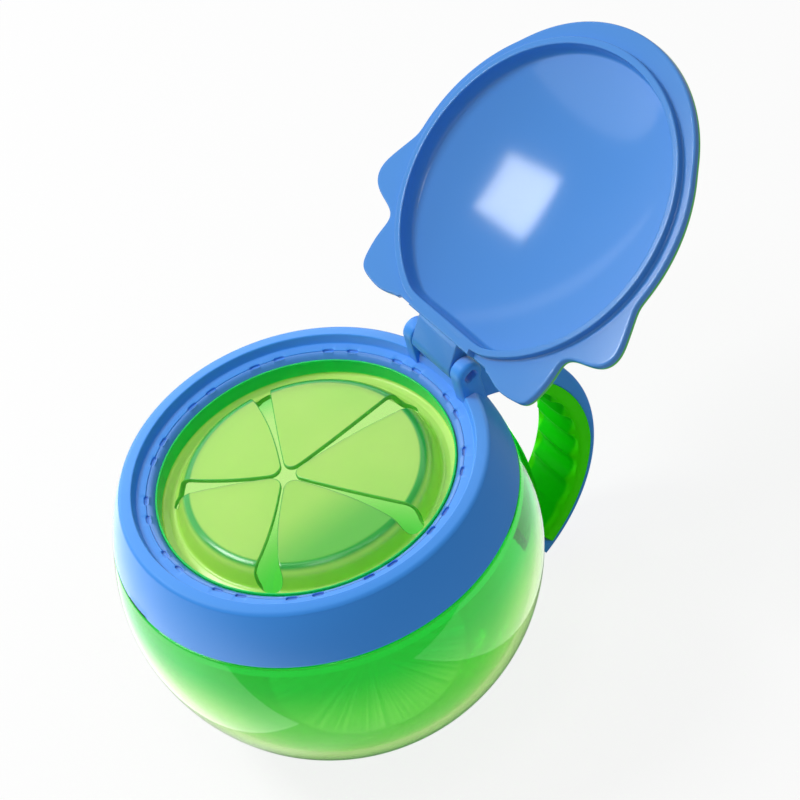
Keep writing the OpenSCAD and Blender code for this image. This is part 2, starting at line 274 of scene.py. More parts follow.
def moulding_group():
    """Moulded plastic: the colour drifts a little over the piece, its gloss is uneven,
    and its skin has a fine ripple. Three noises of different size, on Object coordinates."""
    group = bpy.data.node_groups.new("moulded_surface", "ShaderNodeTree")
    socket(group, "Colour", "Color", value=(0.5, 0.5, 0.5, 1))
    socket(group, "Deep colour", "Color", value=(0.3, 0.3, 0.3, 1))
    socket(group, "Drift", "Float", value=0.2)
    socket(group, "Roughness", "Float", value=0.3)
    socket(group, "Gloss spread", "Float", value=0.05)
    socket(group, "Colour", "Color", into=False)
    socket(group, "Roughness", "Float", into=False)
    socket(group, "Height", "Float", into=False)
    nodes = group.nodes
    enter, leave = nodes.new("NodeGroupInput"), nodes.new("NodeGroupOutput")
    place = add(group, "TexCoord")
    wide = add(group, "TexNoise", Scale=38.0, Detail=2.0, Roughness=0.5)
    cloud = add(group, "TexNoise", Scale=150.0, Detail=3.0, Roughness=0.55)
    fine = add(group, "TexNoise", Scale=900.0, Detail=2.0, Roughness=0.5)
    drift = add(group, "Math", operation="MULTIPLY")
    blend = add(group, "Mix", data_type="RGBA")
    centre = add(group, "Math", operation="SUBTRACT")
    centre.inputs[1].default_value = 0.5
    gloss = add(group, "Math", operation="MULTIPLY_ADD")
    ripple = add(group, "Math", operation="MULTIPLY_ADD")
    ripple.inputs[1].default_value = 0.25
    for noise in (wide, cloud, fine):
        link(group, (place.outputs["Object"], noise.inputs["Vector"]))
    link(
        group,
        (wide.outputs["Fac"], drift.inputs[0]),
        (enter.outputs["Drift"], drift.inputs[1]),
        (drift.outputs[0], blend.inputs[0]),
        (enter.outputs["Colour"], blend.inputs[6]),
        (enter.outputs["Deep colour"], blend.inputs[7]),
        (cloud.outputs["Fac"], centre.inputs[0]),
        (centre.outputs[0], gloss.inputs[0]),
        (enter.outputs["Gloss spread"], gloss.inputs[1]),
        (enter.outputs["Roughness"], gloss.inputs[2]),
        (fine.outputs["Fac"], ripple.inputs[0]),
        (wide.outputs["Fac"], ripple.inputs[2]),
        (blend.outputs[2], leave.inputs["Colour"]),
        (gloss.outputs[0], leave.inputs["Roughness"]),
        (ripple.outputs[0], leave.inputs["Height"]),
    )
    return group


moulding = moulding_group()


def plastic(name, colour, deep, drift=0.3, rough=0.3, spread=0.1, bump=0.00004, **shader):
    """A moulded plastic: the shared surface group drives colour, gloss and ripple;
    the numbers that are the same all over sit on the shader's own sockets."""
    made = bpy.data.materials.new(name)
    made.use_nodes = True
    tree = made.node_tree
    base = tree.nodes["Principled BSDF"]
    surface = tree.nodes.new("ShaderNodeGroup")
    surface.node_tree = moulding
    surface.inputs["Colour"].default_value = (*colour, 1)
    surface.inputs["Deep colour"].default_value = (*deep, 1)
    surface.inputs["Drift"].default_value = drift
    surface.inputs["Roughness"].default_value = rough
    surface.inputs["Gloss spread"].default_value = spread
    ripple = add(tree, "Bump", Strength=1.0, Distance=bump)
    link(
        tree,
        (surface.outputs["Colour"], base.inputs["Base Color"]),
        (surface.outputs["Roughness"], base.inputs["Roughness"]),
        (surface.outputs["Height"], ripple.inputs["Height"]),
        (ripple.outputs["Normal"], base.inputs["Normal"]),
    )
    for key, value in shader.items():
        base.inputs[key.replace("_", " ")].default_value = value
    return made


collar_blue = plastic(
    "collar_blue", (0.056, 0.315, 0.90), (0.046, 0.285, 0.84), rough=0.42, Specular_IOR_Level=0.14)
lid_blue = plastic(
    "lid_blue", (0.070, 0.275, 0.72), (0.062, 0.255, 0.68), rough=0.12, spread=0.04, bump=0.00001,
    Specular_IOR_Level=0.29)
retainer_blue = plastic(
    "retainer_blue", (0.07, 0.265, 0.72), (0.06, 0.235, 0.66), rough=0.38, Specular_IOR_Level=0.2)
pin_blue = plastic("pin_blue", (0.03, 0.12, 0.45), (0.02, 0.09, 0.38), rough=0.35)
cover_green = plastic("cover_green", (0.10, 0.60, 0.12), (0.07, 0.5, 0.09), rough=0.3)
grip_green = plastic(
    "grip_green", (0.003, 0.69, 0.001), (0.002, 0.58, 0.001), rough=0.42, spread=0.15,
    Specular_IOR_Level=0.04)
clear_green = plastic(
    "clear_green", (0.56, 0.90, 0.29), (0.50, 0.88, 0.24), drift=0.5, rough=0.035, spread=0.03,
    bump=0.00001, Transmission_Weight=1.0, IOR=1.42, Specular_IOR_Level=0.22)
# The second material is the front flap's copy of the lime, which takes painted shade below
soft_lime, shaded_front_lime = (
    plastic(name, colour, (0.34, 0.82, 0.09), drift=0.7, rough=0.2, spread=0.05, bump=0.00002,
            Transmission_Weight=0.42, IOR=1.42)
    for name, colour in (("soft_lime", (0.62, 0.89, 0.20)), ("shaded_front_lime", (0.60, 0.88, 0.19))))
# The membrane ring's deep green is painted shade, for the shade under the retainer; its groove floor is made
# pale lime below
shaded_membrane_wall = plastic(
    "shaded_membrane_wall", (0.002, 0.88, 0.16), (0.001, 0.80, 0.12), drift=0.5, rough=0.18, spread=0.05,
    bump=0.00002, Transmission_Weight=0.35, IOR=1.42, Specular_IOR_Level=0.2)


def change_colour(material, value, start, end, colour):
    """Blends a material's colour to another one, with 0 where a value is at the start
    and 1 where it is at the end."""
    tree = material.node_tree
    ramp = add(tree, "MapRange", interpolation_type="SMOOTHSTEP")
    ramp.inputs["From Min"].default_value = start
    ramp.inputs["From Max"].default_value = end
    mix = add(tree, "Mix", data_type="RGBA")
    mix.inputs[7].default_value = (*colour, 1)
    base = tree.nodes["Principled BSDF"].inputs["Base Color"]
    before = base.links[0].from_socket
    link(
        tree,
        (value, ramp.inputs["Value"]),
        (ramp.outputs[0], mix.inputs[0]),
        (before, mix.inputs[6]),
        (mix.outputs[2], base),
    )


def change_by_place(material, axis, start, end, colour, both_sides=False):
    """The same along an axis of the Object coordinates, in millimetres."""
    tree = material.node_tree
    split = add(tree, "SeparateXYZ")
    link(tree, (add(tree, "TexCoord").outputs["Object"], split.inputs[0]))
    value = split.outputs[axis]
    if both_sides:
        side = add(tree, "Math", operation="ABSOLUTE")
        link(tree, (value, side.inputs[0]))
        value = side.outputs[0]
    change_colour(material, value, start * MM, end * MM, colour)


def change_by_mark(material, mark, start, end, colour):
    """The same by one of the piece's own marks."""
    value = add(material.node_tree, "Attribute", attribute_name=mark).outputs["Fac"]
    change_colour(material, value, start, end, colour)


# The grip's smooth sides are more olive. The flaps' cut sides look deeper, as thick places do in clear
# and soft plastic. The rest is painted shade, as deeper green: the outer half of the front flap, a band
# round the flaps' shoulder, the membrane's outer wall above its pale groove, and the bowl's shoulder and
# base.
change_by_place(grip_green, "X", 5.4, 6.6, (0.06, 0.90, 0.002), both_sides=True)
# Painted shade: the front flap turns deeper green from 7 mm to 22 mm along X
change_by_place(shaded_front_lime, "X", 7.0, 22.0, (0.15, 0.66, 0.06))
for lime in (soft_lime, shaded_front_lime):
    # Painted shade: a dark green band round the flaps' shoulder from a reach of 25.2 mm, back to pale lime on
    # the wall past 26.6 mm
    change_by_mark(lime, "reach", 25.2, 25.8, (0.02, 0.50, 0.06))
    change_by_mark(lime, "reach", 26.6, 27.6, (0.60, 0.92, 0.18))
    change_by_mark(lime, "cut", 0.2, 0.9, (0.10, 0.60, 0.06))
# Under the wall's painted shade, the colour turns pale lime from 61.7 mm down to 61.1 mm, on the groove floor
change_by_place(shaded_membrane_wall, "Z", 61.7, 61.1, (0.72, 0.97, 0.28))
# Painted shade: the bowl deepens to dark green from 36 mm up to 50 mm and stays so under the collar
change_by_place(clear_green, "Z", 36.0, 50.0, (0.001, 0.72, 0.12))
# Painted shade: the bowl deepens from 20 mm down to 5 mm, for the shade under it
change_by_place(clear_green, "Z", 20.0, 5.0, (0.08, 0.68, 0.06))


# Bowl


def make_bowl():
    """The outline runs from the middle of the base along the ball's arc, over the
    shoulder and the neck with its low bead, and back down inside, a wall's thickness
    away, to the floor."""
    shoulder, bead_z, bead_half, bead = PARTING_Z - 0.2, 58.4, 0.7, 0.2
    inside, neck_foot = BALL_R - BOWL_T, 53.0
    low = angle_at(-BALL_Z, math.hypot(BALL_Z, BASE_R))
    high = angle_at(shoulder - BALL_Z, BALL_R)
    outer = arc((0, BALL_Z), BALL_R, low + 2.5, high - 0.8, 72)
    foot = rounded([[0, 0], [BASE_R, 0], outer[0]], [0, 1.6, 0])
    top = rounded(
        [outer[-1], polar(BALL_R, high) + [0, BALL_Z], [NECK_R, shoulder],
         [NECK_R, bead_z - bead_half], [NECK_R + bead, bead_z], [NECK_R, bead_z + bead_half],
         [NECK_R, NECK_Z], [NECK_R - BOWL_T, NECK_Z], [NECK_R - BOWL_T, neck_foot + 0.4],
         [43.4, neck_foot]],
        [0] + [0.5] * 7 + [1.2, 0])
    inner_high, inner_low = angle_at(neck_foot - BALL_Z, inside), angle_at(FLOOR_T - BALL_Z, inside)
    inner = arc((0, BALL_Z), inside, inner_high - 1.5, inner_low + 2.5, 64)
    floor = rounded([inner[-1], [24.1, FLOOR_T], [0, FLOOR_T]], [0, 2.0, 0])
    line = np.concatenate([foot[:-1], outer, top[1:-1], inner, floor[1:]])
    return grid(lathe(line, all_round(240)))


piece("bowl_shell", [make_bowl()], "bowl", clear_green, ["bowl"])

# Collar and retainer

# The windows between the collar and its retainer come in pairs, evenly round the ring
WINDOW_PAIRS = 13
WINDOW_STEP = 360 / WINDOW_PAIRS
WINDOWS = np.sort(np.array([
    (90 + WINDOW_STEP / 2 + i * WINDOW_STEP + side * WINDOW_STEP / 6) % 360
    for i in range(WINDOW_PAIRS) for side in (-1, 1)
]))
WINDOW_HALF = math.degrees(1.3 / SOCKET_R)
# Half the joint round the retainer, and how far a window reaches into each side
JOINT, WINDOW_IN = 0.01, 0.45
# The small notch under the collar in front: its place, height and half width
NOTCH_A, NOTCH_H, NOTCH_HALF = 265.5, 0.9, 3.9
# The retainer's lower edge, the ledge's underside and the top of the groove in it
RETAINER_FOOT, UNDER_Z, GROOVE_Z = 61.0, 62.2, 64.2


def window_angles(extra=()):
    """Angles round the collar: close together at the ends of each window, wider between."""
    ends = np.sin(np.linspace(-1, 1, 13) * math.pi / 2) * WINDOW_HALF * 1.02
    near = (WINDOWS[:, None] + ends[None]).ravel()
    gaps = np.roll(WINDOWS, -1) - WINDOWS
    gaps[-1] += 360
    between = np.concatenate([
        w + WINDOW_HALF + (gap - 2 * WINDOW_HALF) * np.arange(1, n) / n
        for w, gap, n in zip(WINDOWS, gaps, np.ceil(gaps / 1.3).astype(int))
    ])
    return np.unique(np.round(np.concatenate([near, between, np.asarray(extra)]) % 360, 5))


def window_depth(angles):
    """1 along a window, falling to 0 at its ends as a long rounded slot does."""
    s = np.clip(apart(angles[:, None], WINDOWS[None]).min(1) / WINDOW_HALF, 0, 1)
    return (1 - s**4) ** 0.5


def lift_notch(line, angles):
    """Lifts the collar's lower edge over the notch, less and less up the wall."""
    skirt_r, ease, even_h = 45.0, 0.5, 2.3
    off = np.radians(apart(angles, NOTCH_A)) * skirt_r
    lift = NOTCH_H * (1 - smooth(off, NOTCH_HALF - ease, NOTCH_HALF + ease))
    line[..., 1] += np.clip((PARTING_Z + even_h - line[..., 1]) / even_h, 0, 1) * lift[None]
    return line


def make_collar():
    """The outline of the collar's wall: skirt, bulging face, soft rim, recess and ledge.
    The ledge's edge steps back where a window is, and the skirt lifts over the notch."""
    angles = window_angles(NOTCH_A + np.linspace(-7, 7, 25))
    lean = angle_at(RIM_C - COLLAR_C, COLLAR_R - RIM_ROUND)
    low = angle_at(PARTING_Z - COLLAR_C, COLLAR_R)
    face = arc((0, COLLAR_C), COLLAR_R, low + 0.8, lean, 24)
    foot = rounded([[SKIRT_IN, PARTING_Z], polar(COLLAR_R, low) + [0, COLLAR_C], face[0]], [0, 0.45, 0])
    top = RIM_C + RIM_ROUND
    rim = rounded([face[-1], [RIM_R + 1.2, top - 0.5], [RIM_R - 1.5, top - 0.12], [37.7, 67.0]],
                  [0, 1.6, 0.35, 0], 7)
    socket_r = SOCKET_R + JOINT
    recess = rounded([rim[-1], [37.4, LEDGE_Z], [socket_r, LEDGE_Z]], [0, 0.35, 0], 4)
    outside = np.concatenate([foot, face[1:], rim[1:], recess[1:-1]])
    edge = socket_r + WINDOW_IN * window_depth(angles)
    soft, window_foot = 0.18, LEDGE_Z - 0.6
    lip = [(edge + soft, LEDGE_Z), (edge + 0.05, LEDGE_Z - 0.05), (edge, LEDGE_Z - soft),
           (edge, window_foot + 0.05), (socket_r, window_foot)]
    back = [[socket_r, GROOVE_Z + 0.5], [socket_r, UNDER_Z], [37.0, UNDER_Z], [37.0, GROOVE_Z],
            [41.2, GROOVE_Z], [41.2, UNDER_Z], [SKIRT_IN, UNDER_Z]]
    outside = same_all_round(outside, len(angles))
    line = np.concatenate([outside, profile_rows(lip + back, len(angles))])
    return grid(lathe(lift_notch(line, angles), angles), wrap_rows=True)


def ear_outline():
    """The ear seen from the side, as a radius round the pin for each angle: the round
    lug, and the post that runs down into the rim, its back edge sloping."""
    count = 96
    way = polar(1.0, all_round(count) + 45)
    foot, front = -9.0, 2.5
    corners = np.array([[-EAR_R, 0], [-EAR_R, foot], [front, foot], [front, 1.6]])
    reach = np.full(count, EAR_R)
    for p, q in zip(corners, np.roll(corners, -1, 0)):
        reach = np.maximum(reach, reach_line(way, p, q))
    return way, reach


# The recess over the pin: its half length and half width, lean and depth
KEY_LONG, KEY_WIDE, KEY_A, KEY_DEPTH = 1.6, 1.25, 23.0, 2.2


def key_outline(way):
    """The rounded recess over the pin, as a radius for each direction, a little longer
    than wide and leaning back: |along / long|^3 + |across / wide|^3 = 1."""
    along, across = way @ polar(1.0, KEY_A), way @ polar(1.0, KEY_A + 90)
    return (np.abs(along / KEY_LONG) ** 3 + np.abs(across / KEY_WIDE) ** 3) ** (-1 / 3)


def make_ear(side):
    """Rings from the inner face over the rounded edge to the outer face, down into the
    recess and to its middle. Each ring is an outline at one distance from the middle plane."""
    way, reach = ear_outline()
    key = key_outline(way)
    soft = 1.1
    rings = [(EAR_IN, 0 * reach), (EAR_IN, reach - 0.3)]
    rings += [(EAR_IN + 0.15, reach - 0.08), (EAR_IN + 0.35, reach)]
    rings += [(EAR_OUT - soft + soft * math.sin(t), reach - soft + soft * math.cos(t)) for t in quarter(5)]
    rings += [(EAR_OUT, key + (reach - soft - key) * 0.4), (EAR_OUT, key + 0.12), (EAR_OUT - 0.12, key),
              (EAR_OUT - KEY_DEPTH, key * 0.97), (EAR_OUT - KEY_DEPTH, key * 0)]
    points = np.stack([
        np.stack([np.full(len(r), side * x), HINGE_Y + way[:, 0] * r, HINGE_Z + way[:, 1] * r], -1)
        for x, r in rings
    ])
    return grid(points)


piece("collar_body", [make_collar(), make_ear(1), make_ear(-1)], "collar", collar_blue, ["collar"])


def make_retainer():
    """The retainer's outline: a steep outer wall, a top that slopes in to the lip, and
    a plain inner wall. Its outer top edge steps back where a window is."""
    angles = window_angles()
    outside = SOCKET_R - JOINT
    edge = outside - WINDOW_IN * window_depth(angles)
    soft, window_foot = 0.2, LEDGE_Z - 0.6
    top = [(outside, RETAINER_FOOT), (outside, window_foot - 0.05), (edge, window_foot),
           (edge, LEDGE_Z - 0.1 - soft), (edge - 0.06, LEDGE_Z - 0.15), (edge - soft, LEDGE_Z - 0.12)]
    slope = rounded([[34.3, 65.55], [MOUTH_R, 64.55], [MOUTH_R, RETAINER_FOOT]], [0, 0.55, 0], 6)
    slope = same_all_round(resample(slope, 0.6), len(angles))
    line = np.concatenate([profile_rows(top, len(angles)), slope])
    return grid(lathe(line, angles), wrap_rows=True)


piece("retainer_ring", [make_retainer()], "collar", retainer_blue, ["flap_retainer"])

# Soft membrane

FOOT_R, FOOT_Z = 30.1, 61.2
# Radius and height down the flaps' top: from the crown's edge over the shoulder to the foot
meridian = rounded([[23.4, 66.2], [27.5, 66.0], [29.3, 61.3], [FOOT_R, FOOT_Z]], [0, 3.6, 0.9, 0], 12)
meridian = resample(meridian, 0.35)
# Where the slits' lines end, half the width of their narrow part, how far from the star
# the flaps' round tips have their centres, the crown's height and the cut edges' rounding
SHOULDER_R, HALF_GAP, TIP_IN, CROWN, CUT_SOFT = 26.8, 0.3, 4.4, 0.6, 0.32
# How late each side of a slit starts to open: 1 is a straight side, 3 a late curve
SLIT_BOW = ((1.4, 2.2), (2.4, 2.0), (3.0, 1.8), (2.8, 2.4), (1.8, 2.6))
# How far each side stands off the slit's line where the slit is widest
SLIT_FLARE = ((3.6, 2.4), (4.0, 0.9), (1.1, 3.6), (2.9, 3.2), (2.0, 3.5))
# Where that is along the meridian, and how much narrower the slit's lower end is
WIDEST_R, LOWER_END = 27.6, 0.36


def flap_middle(k):
    """The angle of a flap's middle."""
    return SLIT_A + FLAP_STEP * (k + 0.5)


# The flap that faces +X has a material of its own, with painted shade: deeper green on its outer half
FRONT_FLAP = max(range(FLAP_COUNT), key=lambda k: math.cos(math.radians(flap_middle(k))))


def membrane_top(radius):
    """Height of the raised middle's top: a shallow crown, then the rounded shoulder."""
    crown = meridian[0, 1] + CROWN * (1 - (radius / meridian[0, 0]) ** 2)
    return np.where(radius < meridian[0, 0], crown, np.interp(radius, meridian[:, 0], meridian[:, 1]))


def slit(k):
    """(direction, normal to its left) of one slit from the star."""
    way = polar(SHOULDER_R, SLIT_A + FLAP_STEP * (k % FLAP_COUNT)) - STAR
    way = way / np.linalg.norm(way)
    return way, np.array([-way[1], way[0]])


def slit_aside(k, side, along, widest, end):
    """Half the slit's opening on one side for distances along the surface. It opens as
    a power of the distance, then narrows slowly; a soft minimum joins the two, and the
    last stretch closes as a quarter of an ellipse."""
    pick = 0 if side > 0 else 1
    bow, flare = SLIT_BOW[k % FLAP_COUNT][pick], SLIT_FLARE[k % FLAP_COUNT][pick]
    closed, round_end = 4.0, 2.0
    rise = np.maximum((along - closed) / (widest - closed), 0) ** bow
    fall = 1.12 - LOWER_END * (along - widest) / (end - widest)
    opening = np.maximum(soft_min(rise, fall, 0.09), 0)
    closing = np.clip((along - end + round_end) / round_end, 0, 1)
    return (HALF_GAP + (flare - HALF_GAP) * opening) * np.sqrt(1 - closing**2)


def slit_edge(k, side, q, aside):
    """Points on one side of a slit: out along its line by q, and aside from it."""
    way, left = slit(k)
    return STAR + q[:, None] * way + side * aside[:, None] * left


def slit_length(k, radius):
    """How far along a slit's line a circle round the middle is crossed."""
    along = STAR @ slit(k)[0]
    return -along + np.sqrt(along**2 - STAR @ STAR + radius**2)


def petal_edges(k):
    """A flap's two edges, from the middle of its round tip out along the slits and down
    the wall, and the way from its tip to its middle."""
    way0, way1 = slit(k)[0], slit(k + 1)[0]
    middle = (way0 + way1) / np.linalg.norm(way0 + way1)
    half = math.acos(float(np.clip(way0 @ way1, -1, 1))) / 2
    tip_r = TIP_IN * math.sin(half) - HALF_GAP
    side = np.array([middle[1], -middle[0]])
    t = np.linspace(0, 1, 9)[:-1, None] * (math.pi / 2 - half)
    start = TIP_IN * math.cos(half)
    radii = meridian[:, 0]
    run = np.concatenate([[0], np.cumsum(np.linalg.norm(np.diff(meridian, axis=0), axis=1))])
    edges = []
    for j, turn in ((k, 1), (k + 1, -1)):
        tip = STAR + TIP_IN * middle + tip_r * (turn * np.sin(t) * side - np.cos(t) * middle)
        shoulder = slit_length(j, radii[0])
        widest, end = shoulder + np.interp(WIDEST_R, radii, run), shoulder + run[-1]
        q = start + (shoulder - start) * np.linspace(0, 1, 30)[:-1]
        inner = slit_edge(j, turn, q, slit_aside(j, turn, q, widest, end))
        aside = slit_aside(j, turn, shoulder + run, widest, end)
        outer = slit_edge(j, turn, slit_length(j, radii), aside)
        outer = outer / np.linalg.norm(outer, axis=1)[:, None] * radii[:, None]
        edges.append(np.concatenate([tip, inner, outer]))
    return edges, middle


def into_petal(edge, turn, middle):
    """Unit vectors square to an edge, pointing into the flap."""
    tangent = np.gradient(edge, axis=0)
    inward = turn * np.stack([-tangent[:, 1], tangent[:, 0]], -1)
    inward[0] = middle
    return inward / np.linalg.norm(inward, axis=1)[:, None]


def across_petal(first, last, wall_row):
    """Rows of points from one edge to the other: straight near the tip, and bent round
    the middle from the shoulder on, a little closer together at both edges."""
    even = np.linspace(0, 1, 41)
    u = 0.6 * even + 0.4 * (0.5 - 0.5 * np.cos(even * math.pi))
    a0, a1 = np.arctan2(first[:, 1], first[:, 0]), np.arctan2(last[:, 1], last[:, 0])
    a1 = a0 + (a1 - a0) % (2 * math.pi)
    r0, r1 = np.linalg.norm(first, axis=1), np.linalg.norm(last, axis=1)
    straight = first[:, None] * (1 - u[None, :, None]) + last[:, None] * u[None, :, None]
    angle = a0[:, None] * (1 - u) + a1[:, None] * u
    radius = r0[:, None] * (1 - u) + r1[:, None] * u
    bent = np.stack([radius * np.cos(angle), radius * np.sin(angle)], -1)
    weight = smooth(np.arange(len(first)) / wall_row, 0.45, 1.0)[:, None, None]
    return straight * (1 - weight) + bent * weight


def drape(plan, deep, wall_row):
    """Lifts a flat plan onto the membrane: its first rows onto the crown, and those from
    the wall's first row onto the meridian. The array deep says how far each point lies
    under the surface, square to it. Also gives the surface's radius over each point."""
    r = np.linalg.norm(plan, axis=-1)
    slope = np.gradient(meridian, axis=0)
    slope /= np.linalg.norm(slope, axis=1)[:, None]
    reach, z, out, up = r.copy(), membrane_top(r), np.zeros(r.shape), np.ones(r.shape)
    reach[wall_row:], z[wall_row:] = meridian[:, :1], meridian[:, 1:]
    out[wall_row:], up[wall_row:] = -slope[:, 1:], slope[:, :1]
    scale = (reach - deep * out) / np.maximum(r, 1e-6)
    points = np.concatenate([plan * scale[..., None], (z - deep * up)[..., None]], -1)
    points[-1, :, 2] = np.maximum(points[-1, :, 2], FOOT_Z - SOFT_T)
    return points, reach


def make_petal(k):
    """One fifth of the membrane. Its rows run from the round tip out over the shoulder
    and down the wall; each row is a loop: over the top from slit to slit, round the
    edge, back along the underside and round the other edge."""
    (edge0, edge1), middle = petal_edges(k)
    wall_row = len(edge0) - len(meridian)
    in0, in1 = into_petal(edge0, 1, middle), into_petal(edge1, -1, middle)
    first, last = edge0 + CUT_SOFT * in0, edge1 + CUT_SOFT * in1
    top = across_petal(first, last, wall_row)
    turn = quarter(4)
    aside = CUT_SOFT * np.concatenate([np.sin(turn), np.cos(turn)])
    depth = np.concatenate([CUT_SOFT * (1 - np.cos(turn)), SOFT_T - CUT_SOFT * (1 - np.sin(turn))])
    right = last[:, None] - aside[None, :, None] * in1[:, None]
    left = first[:, None] - aside[None, ::-1, None] * in0[:, None]
    plan = np.concatenate([top, right[:, 1:-1], top[:, ::-1], left[:, 1:-1]], 1)
    columns, edge_columns = top.shape[1], len(depth) - 2
    deep = np.concatenate([np.zeros(columns), depth[1:-1], np.full(columns, SOFT_T), depth[::-1][1:-1]])
    points, reach = drape(plan, deep, wall_row)
    cut = np.zeros(reach.shape)
    cut[:, columns : columns + edge_columns] = cut[:, 2 * columns + edge_columns :] = 1
    thing = piece("petal_%d" % (k + 1), [grid(points)], None,
                  shaded_front_lime if k == FRONT_FLAP else soft_lime, ["flap_%d" % (k + 1)], sharp=60,
                  marks={"reach": reach, "cut": cut})
    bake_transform(thing)


for k in range(FLAP_COUNT):
    make_petal(k)


def make_groove():
    """The membrane's outer part: the floor of its groove, rounding up into the thin wall
    that the retainer holds, carried round as one closed outline."""
    floor_z, wall_top, under_z = 60.8, 65.2, 59.9
    line = rounded([[FOOT_R, FOOT_Z], [31.2, floor_z], [32.8, floor_z], [32.9, wall_top], [33.36, wall_top],
                    [33.36, under_z], [FOOT_R, under_z]], [0, 1.0, 0.5, 0.2, 0.2, 1.2, 0], 8)
    return grid(lathe(line, all_round(288)), wrap_rows=True)


piece("membrane_ring", [make_groove()], "collar", shaded_membrane_wall, ["flap_ring"])

# Lid

# Directions of the rays from the lid's middle
LID_WAY = polar(1.0, all_round(720))
# How far the flange's straight back edge stays from the hinge, and half its length
BACK_IN, BACK_HALF = 3.8, 20.0
# The wide nose in front: how far its round is set forward, and its radius
NOSE_IN, NOSE_R = 5.4, 36.0
# The flange's points on each side, each round two circles: how far the circle is aside
# and how far in from the hinge, and its radius
LID_POINTS = (
    ((22.6, 11.0, 9.1), (29.2, 4.4, 1.6)),
    ((29.4, 27.8, 11.2), (37.5, 23.6, 5.1)),
)
# How far the lip's wall stands in from the lip's outline, at its foot and at its top
WALL_FOOT, WALL_TOP = 2.9, 1.65


def reach_rounds(a, ra, b, rb):
    """How far each ray goes inside the outline round two circles, with sides that
    touch both."""
    a, b = np.asarray(a, float), np.asarray(b, float)
    way = (b - a) / np.linalg.norm(b - a)
    lean = math.acos((ra - rb) / np.linalg.norm(b - a))
    out = np.maximum(reach_circle(LID_WAY, a, ra), reach_circle(LID_WAY, b, rb))
    for sign in (-1, 1):
        n = math.cos(lean) * way + sign * math.sin(lean) * np.array([-way[1], way[0]])
        out = np.maximum(out, reach_line(LID_WAY, a + ra * n, b + rb * n))
    return out


def lid_reach(notch=BACK_IN, half=16.4):
    """The flange's outline as a radius for each angle round the lid's middle: the round,
    the wide nose in front, two rounded points each side and the straight back edge,
    then averaged with its neighbours a few times so that the points flow into the round.
    Between the ears it is cut straight, a notch's depth from the hinge."""
    up = -LID_Y
    out = reach_circle(LID_WAY, np.zeros(2), LID_R)
    out = np.maximum(out, reach_circle(LID_WAY, np.array([0, -NOSE_IN]), NOSE_R))
    for (x0, in0, r0), (x1, in1, r1) in LID_POINTS:
        for sign in (-1, 1):
            out = np.maximum(out, reach_rounds((sign * x0, up - in0), r0, (sign * x1, up - in1), r1))
    back = [np.array([x, up - BACK_IN]) for x in (-BACK_HALF, BACK_HALF)]
    out = np.maximum(out, reach_line(LID_WAY, *back))
    for _ in range(30):
        out = (np.roll(out, 1) + 2 * out + np.roll(out, -1)) / 4
    x, y = out * LID_WAY[:, 0], out * LID_WAY[:, 1]
    in_notch = (np.abs(x) < half) & (y > up - notch)
    return np.where(in_notch, (up - notch) / np.maximum(LID_WAY[:, 1], 0.1), out)


def lip_reach(inset, chord=5.0, bend=0.35):
    """The lip's outline drawn in by a distance: a circle cut straight along the hinge
    side, its corners eased by a soft minimum."""
    cut = (-LID_Y - chord - inset) / np.maximum(LID_WAY[:, 1], 0.05)
    return soft_min(cut, LIP_R - inset, bend)


def dome(radius, above=0.0):
    """Height of the lid's shallow dome at a radius, and of its outer skins above it."""
    return CAP_C + np.sqrt((CAP_R + above) ** 2 - radius**2)


def dome_rings(outline, fractions, above=0.0, least=-np.inf):
    """Rings on the dome, or on a skin above it, from fractions of an outline. They are
    nowhere lower than a height."""
    return [(f * outline, np.maximum(dome(f * outline, above), least)) for f in fractions]


def drawn_in(reach, inset):
    """An outline moved in by a distance, measured square to it."""
    slope = (np.roll(reach, -1) - np.roll(reach, 1)) / (2 * 2 * math.pi / len(reach))
    return reach - inset * np.minimum(np.sqrt(1 + (slope / reach) ** 2), 2.0)


def open_lid(points):
    """Takes points from the lid's closed frame, with the hinge as origin, to the open lid."""
    a = math.radians(-LID_OPEN)
    y = points[..., 1] * math.cos(a) - points[..., 2] * math.sin(a) + HINGE_Y
    z = points[..., 1] * math.sin(a) + points[..., 2] * math.cos(a) + HINGE_Z
    return np.stack([points[..., 0], y, z], -1)


def lid_rings(rings):
    """Stacks rings, each (radius for each angle, height), into a sheet on the open lid."""
    sheet = []
    for ring in rings:
        reach, height = (np.broadcast_to(value, len(LID_WAY)) for value in ring)
        sheet.append(np.stack([reach * LID_WAY[:, 0], reach * LID_WAY[:, 1] + LID_Y, height], -1))
    return grid(open_lid(np.stack(sheet)))


# Rounding of the lip's edges
LIP_SOFT = 0.32


